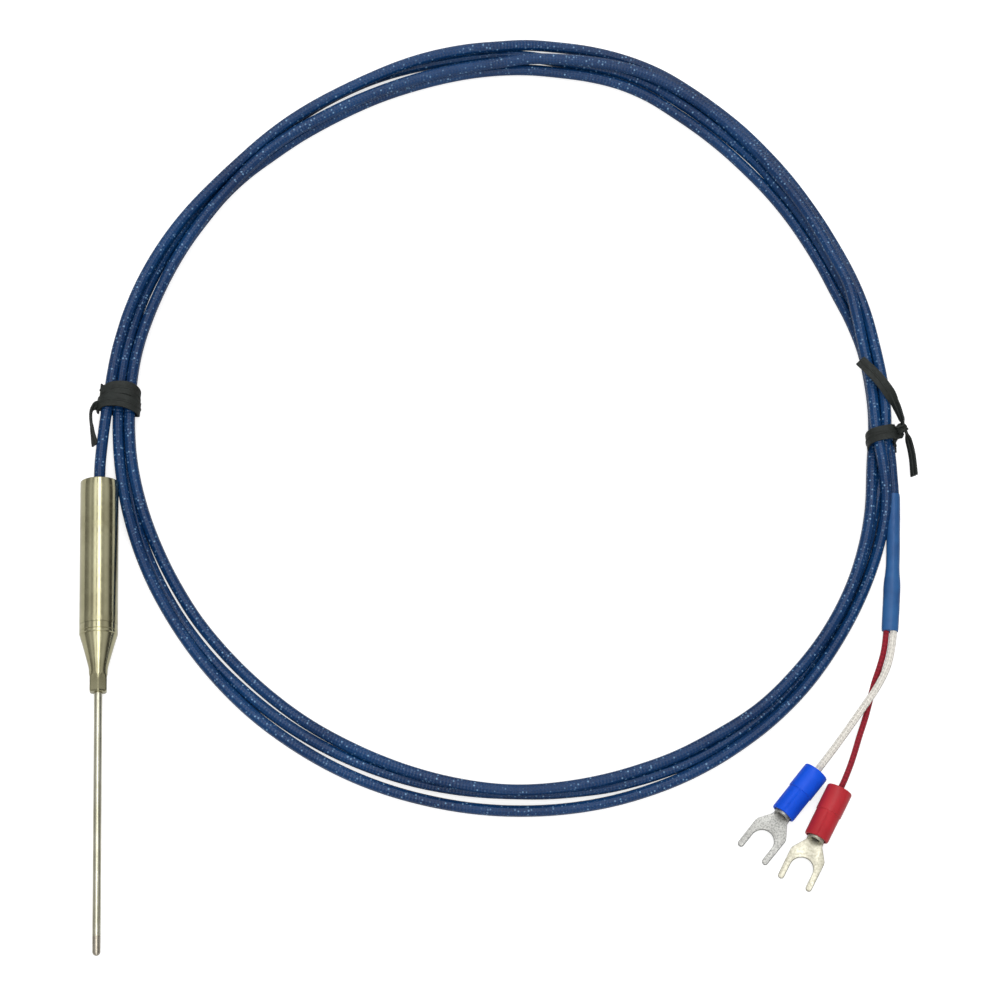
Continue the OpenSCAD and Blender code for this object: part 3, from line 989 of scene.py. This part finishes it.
@dataclass
class Probe:
    """The needle and its sleeve, along Y."""

    axis_height: float = 3.5
    tip_y: float = -44.25
    tip_length: float = 3.5
    sheath_radius: float = 0.75
    nose_y: float = 4.25
    neck_y: float = 9.75
    joint_y: float = 16.85
    mouth_y: float = 44.25
    barrel_radius: float = 3.5
    wall: float = 0.5
    neck_radius: float = 1.7
    crimp_length: float = 3.2
    crimp_flat: float = 1.55
    steel: MetalFinish = MetalFinish(
        "turned_steel", paint(178, 174, 142), paint(160, 155, 124), 0.17, Grain.AROUND
    )
    drawn: MetalFinish = MetalFinish(
        "drawn_steel", paint(196, 194, 176), paint(176, 173, 152), 0.2, Grain.ALONG
    )
    weld: MetalFinish = MetalFinish(
        "welded_steel", paint(176, 170, 156), paint(150, 142, 128), 0.3, Grain.NONE
    )

    def stand(self, piece: bpy.types.Object, start: float) -> None:
        """Lays a turned piece along Y, its first row at a distance along the probe."""
        spot = Matrix.Translation(Vector((0, start, self.axis_height)) * MM)
        place(piece, spot @ Matrix.Rotation(-math.pi / 2, 4, "X"))

    def dress(self, piece: bpy.types.Object, finish: MetalFinish, slot: str, *nodes: str) -> None:
        """Gives a piece its metal, fixes it to the body and hides the nodes it stands for."""
        piece.data.materials.append(finish.material())
        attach(piece, BODY)
        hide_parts(*nodes)
        LOG.info("%s", piece.name)

    def build(self) -> None:
        """Makes the needle, the nose and the barrel."""
        self.needle()
        self.tip()
        self.nose()
        self.barrel()

    def needle(self) -> None:
        """Makes the long drawn tube of the needle."""
        start = self.tip_y + self.tip_length
        length = self.nose_y + 1.5 - start
        rows = [(self.sheath_radius, length * i / 24) for i in range(25)]
        piece = turned("needle", rows, 40)
        self.stand(piece, start)
        soften(piece)
        self.dress(piece, self.drawn, "sheath_steel", "sheath_tube")

    def tip(self) -> None:
        """Makes the welded end, a dome that runs into the tube."""
        radius = self.sheath_radius
        dome = [
            (radius * 0.97 * math.sin(math.radians(a)), radius * (1 - math.cos(math.radians(a))))
            for a in range(0, 91, 10)
        ]
        rows = [*dome, (radius * 0.98, 1.6), (radius * 0.99, 2.6), (radius, self.tip_length - 0.08)]
        rows += [(radius * 0.985, self.tip_length)]
        piece = turned("needle_tip", rows, 40)
        self.stand(piece, self.tip_y)
        soften(piece)
        self.dress(piece, self.weld, "weld_steel", "sheath_tip")

    def nose(self) -> None:
        """Makes the nose: a hexagonal crimp, a neck and a flare up to the barrel."""
        crimp = self.crimp_length
        rows = [
            (self.sheath_radius, 0.5), (self.sheath_radius, 0.12), (self.sheath_radius + 0.12, 0),
        ]
        rows += [(1.3, 0), (1.48, 0.04), (1.6, 0.14), (self.neck_radius, 0.3)]
        rows += [(self.neck_radius, z) for z in (0.8, 1.4, 2.0, 2.6, crimp - 0.15, crimp + 0.05)]
        rows += [(self.neck_radius, z) for z in (crimp + 0.25, 3.8, 4.2)]
        rows += [(1.78, 4.75), (1.95, 5.45), (2.24, 6.55), (2.6, 7.85), (2.96, 9.15), (3.27, 10.15)]
        rows += [
            (3.42, 10.62), (3.36, 10.7), (3.42, 10.78), (3.49, 10.86), (3.5, 10.96), (3.5, 11.3),
        ]
        rows += [(3.43, 11.37), (3.5, 11.44), (3.5, 12.5), (3.49, 12.57), (3.38, 12.6)]
        piece = turned("sleeve_nose_shell", rows, 96)
        for vertex in piece.data.vertices:
            x, y, z = (c / MM for c in vertex.co)
            radius = math.hypot(x, y)
            if radius < 1.2 or z > crimp + 0.6:
                continue
            angle = math.degrees(math.atan2(y, x))
            edge = crimp + 0.12 * math.cos(math.radians(6 * angle))
            edge += 0.1 * math.sin(math.radians(angle))
            press = min(max((edge + 0.18 - z) / 0.3, 0), 1)
            flat = self.crimp_flat / math.cos(math.radians((angle + 30) % 60 - 30))
            flat = min(flat, self.neck_radius + 0.05) * radius / self.neck_radius
            scale = (radius + (flat - radius) * press) / radius
            vertex.co.x *= scale
            vertex.co.y *= scale
        place(piece, Matrix.Rotation(math.radians(4), 4, "Z"))
        self.stand(piece, self.nose_y)
        soften(piece, 22)
        self.dress(piece, self.steel, "sleeve_steel", "sleeve_nose")

    def barrel(self) -> None:
        """Makes the barrel, with a turned line at its joint and a rolled mouth."""
        length = self.mouth_y - self.joint_y
        outer, inner = self.barrel_radius, self.barrel_radius - self.wall
        rows = [(inner, 0.0), (outer - 0.12, 0.0), (outer - 0.01, 0.03), (outer, 0.06)]
        rows += [(outer, length * i / 12) for i in range(1, 12)]
        rows += [(outer, length - 0.22), (outer - 0.05, length - 0.08), (outer - 0.18, length)]
        rows += [(inner + 0.08, length), (inner, length - 0.1), (inner, length * 0.6), (inner, 0.0)]
        piece = turned("sleeve_barrel_shell", rows, 96)
        self.stand(piece, self.joint_y)
        soften(piece, 30)
        self.dress(piece, self.steel, "sleeve_steel", "sleeve_barrel")


# Terminals


@dataclass
class Terminal:
    """An insulated fork terminal that points along its own X axis."""

    color_name: str
    spot: Point
    turn: float
    insulation: MouldedFinish
    metal: MetalFinish
    length: float = 10.0
    radius: float = 2.4
    barrel_radius: float = 1.6
    wire_hole: float = 1.1
    neck: float = 1.6
    shoulder_x: float = 13.1
    half_width: float = 3.3
    arch_x: float = 16.0
    arch_radius: float = 2.15
    tip_x: float = 19.2
    thickness: float = 0.8
    tongue_z: float = -1.2

    def seat(self) -> Matrix:
        """Gives the matrix from the terminal's own axes to the model's."""
        spot = Matrix.Translation(Vector(self.spot) * MM)
        return spot @ Matrix.Rotation(math.radians(self.turn), 4, "Z")

    def insulator(self) -> bpy.types.Object:
        """Makes the plastic sleeve: a funnel for the wire, a pressed waist and an open end.

        Returns:
            The sleeve.
        """
        r = self.radius
        hole, barrel = self.wire_hole, self.barrel_radius + 0.03
        rows = [(hole, 4.4), (hole, 1.6), (hole + 0.55, 0.5), (r - 0.5, 0.05), (r - 0.3, 0.0)]
        rows += [(r - 0.08, 0.06), (r, 0.25), (r, 1.6), (r, 3.2), (r, 4.5), (r, 4.72), (r, 4.84)]
        rows += [(r, 4.96), (r, 5.2), (r, 6.4), (r, 7.7), (r, 9.0)]
        rows += [(r, 9.7), (r - 0.07, 9.93), (r - 0.25, 10.0), (barrel + 0.35, 10.0)]
        rows += [(barrel + 0.25, 9.9), (barrel + 0.1, 9.2), (barrel, 8.8), (barrel, 4.4)]
        piece = turned(self.color_name + "_insulator_shell", rows, 120)
        for vertex in piece.data.vertices:
            x, y, z = (c / MM for c in vertex.co)
            if math.hypot(x, y) < barrel + 0.3:
                continue
            angle = math.degrees(math.atan2(y, -x))
            press = min(max((z - 4.84) / 0.08, 0), 1)
            seam = math.exp(-((angle / 3.5) ** 2)) * press
            panel = press * math.cos(math.radians(4 * angle)) * 0.014
            scale = 1 - 0.065 * press + panel + 0.045 * seam
            vertex.co.x *= scale
            vertex.co.y *= scale
        place(piece, self.seat() @ Matrix.Rotation(math.pi / 2, 4, "Y"))
        soften(piece, 40)
        piece.data.materials.append(self.insulation.material())
        return piece

    def tongue_outline(self) -> list[tuple[float, float]]:
        """Draws the tongue's outline.

        Returns:
            Corners as (along, across) in millimetres, all the way round.
        """
        w, tine = self.half_width, self.half_width - self.arch_radius
        end = tine / 2
        middle = self.arch_radius + end
        half = [(9.0, self.neck), (10.5, self.neck), (10.9, self.neck + 0.12), (12.8, w - 0.28)]
        half += [(13.15, w - 0.07), (13.5, w), (16.0, w), (self.tip_x - end, w - 0.02)]
        half += [
            (self.tip_x - end + end * math.sin(math.radians(a)),
            middle + end * math.cos(math.radians(a)))
            for a in range(20, 181, 20)
        ]
        arch = [
            (self.arch_x + self.arch_radius * math.cos(math.radians(a)),
            self.arch_radius * math.sin(math.radians(a)))
            for a in range(90, 181, 9)
        ]
        half += arch
        return half + [(x, -y) for x, y in reversed(half[:-1])]

    def fork(self) -> bpy.types.Object:
        """Makes the metal part: a slotted tongue and the barrel it is formed with.

        Returns:
            The fork.
        """
        curve = bpy.data.curves.new("tongue", "CURVE")
        curve.dimensions = "2D"
        curve.fill_mode = "BOTH"
        edge = 0.09
        curve.extrude = (self.thickness / 2 - edge) * MM
        curve.bevel_depth = edge * MM
        curve.bevel_resolution = 2
        curve.offset = -edge * MM
        spline = curve.splines.new("POLY")
        outline = self.tongue_outline()
        spline.points.add(len(outline) - 1)
        for point, (x, y) in zip(spline.points, outline):
            point.co = (x * MM, y * MM, 0, 1)
        spline.use_cyclic_u = True
        tongue = bpy.data.objects.new("tongue", curve)
        bpy.context.scene.collection.objects.link(tongue)
        pick(tongue)
        bpy.ops.object.convert(target="MESH")
        tongue = bpy.context.object
        place(tongue, Matrix.Translation((0, 0, self.tongue_z * MM)))
        outward(tongue)
        b = self.barrel_radius
        rows = [
            (b - 0.75, 4.5), (b - 0.1, 4.5), (b, 4.65), (b, 9.9), (b - 0.08, 10.3),
            (b - 0.25, 10.45),
        ]
        rows += [(b - 0.75, 10.3), (b - 0.75, 9.0), (b - 0.75, 4.5)]
        barrel = turned("barrel", rows, 40)
        place(barrel, Matrix.Rotation(math.pi / 2, 4, "Y"))
        piece = join([tongue, barrel], self.color_name + "_fork_metal")
        place(piece, self.seat())
        soften(piece, 30)
        piece.data.materials.clear()
        piece.data.materials.append(self.metal.material())
        return piece

    def build(self) -> list[bpy.types.Object]:
        """Makes the terminal.

        Returns:
            Its plastic sleeve and its fork.
        """
        sleeve, fork = self.insulator(), self.fork()
        for piece, slot, node in (
            (sleeve, self.color_name + "_insulator", self.color_name + "_insulator"),
            (fork, "tinned_fork", self.color_name + "_fork"),
        ):
            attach(piece, BODY)
            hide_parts(node)
        LOG.info("%s terminal", self.color_name)
        return [sleeve, fork]


# Ties


@dataclass
class Ribbon:
    """A flat black ribbon with a wire in its middle, laid along points with width directions."""

    name: str
    knots: tuple[tuple[Point, Point], ...]
    width: float = 2.3
    thickness: float = 0.36
    ridge: float = 0.12
    widths: tuple[float, ...] = ()

    def build(self) -> bpy.types.Object:
        """Makes the ribbon.

        Returns:
            The ribbon.
        """
        centres = metres([spot for spot, _ in self.knots])
        sides = [Vector(side).normalized() for _, side in self.knots]
        fine = 7
        line: list[Vector] = []
        turns: list[Vector] = []
        ends = [2 * centres[0] - centres[1], *centres, 2 * centres[-1] - centres[-2]]
        for k in range(len(centres) - 1):
            a, b, c, d = ends[k : k + 4]
            for i in range(fine):
                t = i / fine
                line.append(
                    0.5 * (
                        2 * b + (c - a) * t + (2 * a - 5 * b + 4 * c - d) * t * t
                        + (3 * b - a - 3 * c + d) * t**3
                    )
                )
                turns.append(sides[k].lerp(sides[k + 1], t * t * (3 - 2 * t)))
        line.append(centres[-1])
        turns.append(sides[-1])
        w, t = self.width / 2 * MM, self.thickness / 2 * MM
        ridge = self.ridge * MM
        section = [
            (-w, -t * 0.5), (-w * 0.96, -t), (-w * 0.2, -t), (-w * 0.1, -t - ridge),
            (w * 0.1, -t - ridge),
            (w * 0.2, -t), (w * 0.96, -t), (w, -t * 0.5), (w, t * 0.5), (w * 0.96, t), (w * 0.2, t),
            (w * 0.1, t + ridge), (-w * 0.1, t + ridge), (-w * 0.2, t), (-w * 0.96, t),
            (-w, t * 0.5),
        ]
        piece = swept(self.name, line, turns, section)
        soften(piece, 40)
        return piece


def loop_knots(
    centre: tuple[float, float, float],
    half: tuple[float, float],
    start: float,
    stop: float,
    rise: Callable[[float], float],
    turn: float,
    power: float = 2.6,
) -> list[tuple[Point, Point]]:
    """Winds a ribbon round a bundle that runs along Y.

    Args:
        centre: The middle of the loop in millimetres.
        half: Half of the loop's width and half of its height.
        start: The angle where it starts, in degrees from +X up over the top.
        stop: The angle where it ends.
        rise: How far along the bundle the ribbon is, from the angle.
        turn: The bundle's turn about Z in degrees.
        power: How square the loop is: 2 is an ellipse.

    Returns:
        Points with the direction of the ribbon's width.
    """
    along = Vector((-math.sin(math.radians(turn)), math.cos(math.radians(turn)), 0))
    across = Vector((along.y, -along.x, 0))
    knots = []
    count = max(2, round(abs(stop - start) / 22.5))
    for i in range(count + 1):
        angle = start + (stop - start) * i / count
        c, s = math.cos(math.radians(angle)), math.sin(math.radians(angle))
        x = half[0] * math.copysign(abs(c) ** (2 / power), c)
        z = half[1] * math.copysign(abs(s) ** (2 / power), s)
        spot = Vector(centre) + across * x + along * rise(angle) + UP * z
        knots.append((tuple(spot), tuple(along)))
    return knots


@dataclass
class LeftTie:
    """Two overlapping turns of ribbon by the sleeve, with a doubled end that hangs down."""

    centre: Point = (3.55, 60.2, 3.12)
    half: tuple[float, float] = (3.6, 2.45)
    turn: float = -6.0
    tie: MouldedFinish = MouldedFinish(
        "black_tie", TIE_BLACK, TIE_BLACK_SHADE, 0.6, 1500.0, 0.00002
    )

    def build(self) -> bpy.types.Object:
        """Makes the tie.

        Returns:
            The ribbons, joined.
        """
        first = loop_knots(
            self.centre, self.half, 150, -190,
            lambda a: 0.75 + 1.0 * math.cos(math.radians(1.5 * (a - 80))), self.turn, 2.3,
        )
        second = loop_knots(
            self.centre, (self.half[0] + 0.25, self.half[1] + 0.25), 195, -150,
            lambda a: -1.15 + 0.35 * math.cos(math.radians(2 * (a - 100))), self.turn, 2.3,
        )
        up = (0.0, 0.0, 1.0)
        tail = (
            ((0.3, 58.9, 4.0), (0.3, 0.9, 0.3)),
            ((-0.6, 58.9, 3.9), (0.3, 0.6, 0.7)),
            ((-1.5, 58.3, 3.8), up),
            ((-1.7, 56.8, 3.7), up),
            ((-1.4, 54.2, 3.7), (0.3, 0.0, 1.0)),
            ((-0.9, 51.4, 3.7), (0.6, 0.1, 1.0)),
        )
        ribbons = [
            Ribbon("first_turn", tuple(first), 2.5).build(),
            Ribbon("second_turn", tuple(second), 2.5).build(),
            Ribbon("hanging_end", tail, 2.0).build(),
        ]
        piece = join(ribbons, "left_tie")
        piece.data.materials.append(self.tie.material())
        return piece


@dataclass
class RightTie:
    """One turn of ribbon by the shrink tube, twisted to a knot with two long ends."""

    centre: Point = (143.5, 49.4, 3.26)
    half: tuple[float, float] = (2.75, 2.9)
    turn: float = 6.0
    tie: MouldedFinish = MouldedFinish(
        "black_tie_end", TIE_BLACK, TIE_BLACK_SHADE, 0.6, 1500.0, 0.00002
    )

    def build(self) -> bpy.types.Object:
        """Makes the tie.

        Returns:
            The ribbons, joined.
        """
        band = loop_knots(
            self.centre, self.half, 28, 332, lambda a: 0.9 - 1.6 * (a - 28) / 304, self.turn
        )
        upper = (
            ((145.6, 50.7, 4.6), (0.3, 1.0, 0.2)),
            ((146.5, 51.2, 4.8), (0.3, 0.2, 1.0)),
            ((147.3, 51.9, 4.9), (0.0, -0.5, 1.0)),
            ((147.0, 53.2, 5.2), (0.25, 0.1, 1.0)),
            ((146.1, 55.6, 5.5), (0.4, 0.3, 0.95)),
            ((144.8, 58.2, 5.75), (0.8, 0.6, 0.45)),
            ((142.6, 61.3, 5.8), (0.75, 0.65, 0.0)),
            ((139.9, 64.2, 5.8), (0.7, 0.7, -0.1)),
        )
        lower = (
            ((145.7, 49.2, 2.2), (0.3, 1.0, 0.2)),
            ((146.4, 50.2, 3.4), (0.8, 0.6, 0.5)),
            ((147.0, 51.4, 4.3), (0.2, 0.7, 0.7)),
            ((147.8, 50.9, 4.2), (-0.4, 0.5, 1.0)),
            ((148.4, 48.9, 3.6), (0.4, 0.1, 1.0)),
            ((148.9, 46.2, 3.2), (0.5, 0.1, 1.0)),
            ((149.1, 42.6, 3.0), (0.6, 0.1, 1.0)),
        )
        wrap = loop_knots((147.0, 51.2, 4.4), (0.85, 0.8), 0, 540, lambda a: -0.3 + a / 900, 40, 2)
        ribbons = [
            Ribbon("band", tuple(band), 2.7).build(),
            Ribbon("upper_end", upper, 2.2).build(),
            Ribbon("lower_end", lower, 2.0).build(),
            Ribbon("knot_wrap", tuple(wrap), 1.3).build(),
        ]
        piece = join(ribbons, "right_tie")
        piece.data.materials.append(self.tie.material())
        return piece


def tie_up(piece: bpy.types.Object, *nodes: str) -> None:
    """Fixes a finished tie to the body and hides the nodes it stands for."""
    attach(piece, BODY)
    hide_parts(*nodes)
    LOG.info("%s", piece.name)


# Inner parts


@dataclass
class InnerParts:
    """The parts inside the sleeve and the terminals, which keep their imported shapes."""

    finishes: dict[str, MetalFinish | MouldedFinish] = field(
        default_factory=lambda: {
            "mineral_packing": MouldedFinish(
                "pressed_mineral", paint(226, 224, 216), paint(204, 200, 190), 0.85, 2500.0, 0.00003
            ),
            "thermo_wire_positive": MetalFinish(
                "alloy_positive", paint(186, 176, 150), paint(160, 150, 126), 0.32, Grain.ALONG
            ),
            "thermo_wire_negative": MetalFinish(
                "alloy_negative", paint(172, 172, 170), paint(148, 148, 146), 0.32, Grain.ALONG
            ),
            "hot_junction": MetalFinish(
                "junction_bead", paint(140, 132, 122), paint(104, 96, 90), 0.4
            ),
            "sheath_seal": MouldedFinish(
                "sealing_resin", paint(34, 32, 30), paint(24, 22, 20), 0.35, 900.0, 0.00001, 0.3
            ),
            "splice_ferrules": MetalFinish(
                "ferrule_brass", paint(196, 164, 92), paint(168, 136, 74), 0.3
            ),
            "splice_sleeves": MouldedFinish(
                "splice_insulation", paint(222, 214, 190), paint(204, 194, 168), 0.5, 900.0
            ),
            "potting": MouldedFinish(
                "potting_resin", paint(46, 42, 38), paint(34, 30, 28), 0.4, 700.0, 0.00002, 0.2
            ),
            "cable_bush": MouldedFinish(
                "bush_rubber", paint(30, 30, 32), paint(22, 22, 24), 0.65, 1100.0, 0.00002
            ),
            "cable_core_positive": MouldedFinish(
                "core_positive", paint(150, 46, 58), paint(126, 36, 46), 0.55, 1400.0
            ),
            "cable_core_negative": MouldedFinish(
                "core_negative", paint(214, 210, 202), paint(190, 186, 176), 0.55, 1400.0
            ),
            "blue_wire_end": MetalFinish(
                "wire_end_positive", paint(196, 176, 140), paint(170, 148, 112), 0.35, Grain.ALONG
            ),
            "red_wire_end": MetalFinish(
                "wire_end_negative", paint(186, 182, 172), paint(160, 156, 146), 0.35, Grain.ALONG
            ),
        }
    )

    def dress(self, nodes: dict[str, bpy.types.Object]) -> None:
        """Gives each inner node its finish."""
        for name, finish in self.finishes.items():
            materials = nodes[name].data.materials
            material = finish.material()
            if len(materials):
                for i in range(len(materials)):
                    materials[i] = material
            else:
                materials.append(material)
        LOG.info("inner parts dressed")


def build_cords() -> None:
    cable, line = WoundCable().build()
    white = BraidedLead(
        "white_braided_lead", "white_lead", "white_braid", 1.3,
        (
            (145.0, 24.2, 1.4), (144.65, 19, 1.4), (144.15, 13.5, 1.4), (143.6, 10, 1.6),
            (142.8, 7, 1.9), (141.5, 4.2, 2.1), (139.8, 1.5, 2.1), (137.4, -1.8, 2.1),
            (135.0, -5.1, 2.1), (132.4, -8.6, 2.3), (130.2, -11.4, 2.4), (128.4, -13.7, 2.4),
            (126.6, -15.96, 2.4),
        ),
        paint(226, 222, 213), paint(196, 192, 184),
    )
    red = BraidedLead(
        "red_braided_lead", "red_lead", "red_braid", 1.1,
        (
            (143.8, 24.2, 1.4), (143.4, 19, 1.4), (142.85, 13.5, 1.2), (142.3, 10, 0.9),
            (141.4, 7, 0.7), (140.3, 4, 0.6), (139.4, 0.8, 0.6), (138.4, -2.6, 0.7),
            (137.2, -6, 1.1), (135.7, -10.5, 1.8), (134.2, -14.2, 2.3), (132.8, -16.97, 2.4),
            (131.21, -20.01, 2.4),
        ),
        paint(150, 30, 46), paint(116, 18, 32),
    )
    for lead, color in ((white, "blue"), (red, "red")):
        piece, line = lead.build()


def main() -> None:
    """Builds the thermocouple's looks, part by part."""
    logging.basicConfig(level=logging.INFO, format="%(message)s")
    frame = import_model()
    Viewpoint().build()
    shrink = ShrinkTube().build()
    # Painted light: both forks are the same tinned metal; the blue fork's tin is painted darker as
    # painted shade, the red fork's lighter as a painted highlight.
    shaded_tin = MetalFinish("shaded_tin_metal", paint(168, 168, 164), paint(122, 122, 120), 0.42, cloud=3200.0)
    lit_tin = MetalFinish("lit_tin", paint(176, 173, 158), paint(148, 145, 130), 0.35,
        cloud=2400.0)
    tips = {
        "blue": Terminal(
            "blue", (129.1, -12.8, 2.4), 230.6,
            MouldedFinish("blue_moulding", paint(0, 76, 208), paint(0, 62, 184), 0.42, 500.0,
            0.00001),
            shaded_tin,
        ).build(),
        "red": Terminal(
            "red", (133.2, -16.2, 2.4), 242.4,
            MouldedFinish("red_moulding", paint(176, 42, 50), paint(158, 34, 42), 0.36, 500.0,
            0.00001),
            lit_tin,
        ).build(),
    }
    build_cords()
    Probe().build()
    tie_up(LeftTie().build(), "left_tie_ribbon", "left_tie_wire")
    tie_up(RightTie().build(), "right_tie_ribbon", "right_tie_wire")
    InnerParts().dress(frame["nodes"])
    Studio().build()


if __name__ == "__main__":
    main()
